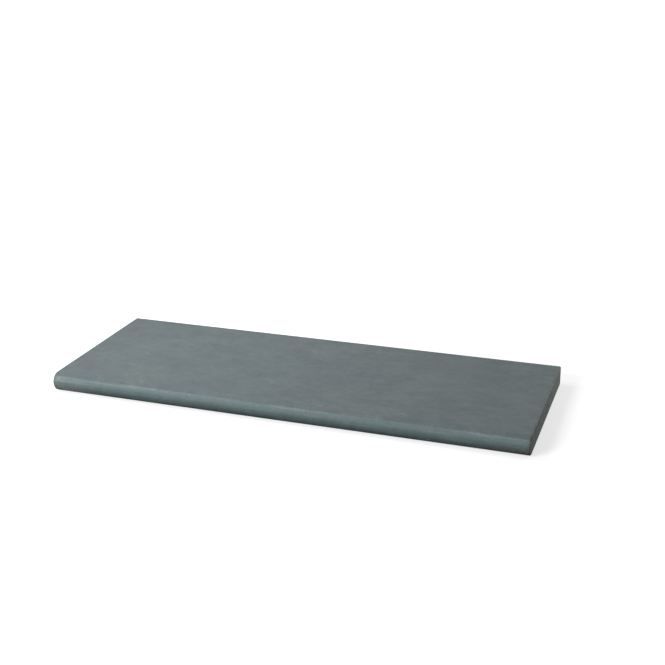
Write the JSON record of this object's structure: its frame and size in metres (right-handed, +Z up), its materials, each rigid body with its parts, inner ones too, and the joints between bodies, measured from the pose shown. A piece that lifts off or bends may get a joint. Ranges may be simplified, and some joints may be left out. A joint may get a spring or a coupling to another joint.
{
  "type": "precast concrete bullnose step",
  "caption": "Flat rectangular precast concrete step with a long rounded nose along its front edge, square ends and back, and soft arrises.",
  "frame": {"origin": "middle of the step's outline, on the plane of its underside", "axes": "+X along the length of the step, -Y out through the rounded nose, +Y out through the back face, +Z up through the tread face"},
  "size_m": [1.1, 0.4, 0.045],
  "materials": {
    "concrete": "matte"
  },
  "bodies": {
    "root": {"step_tread": "concrete"}
  },
  "joints": []
}
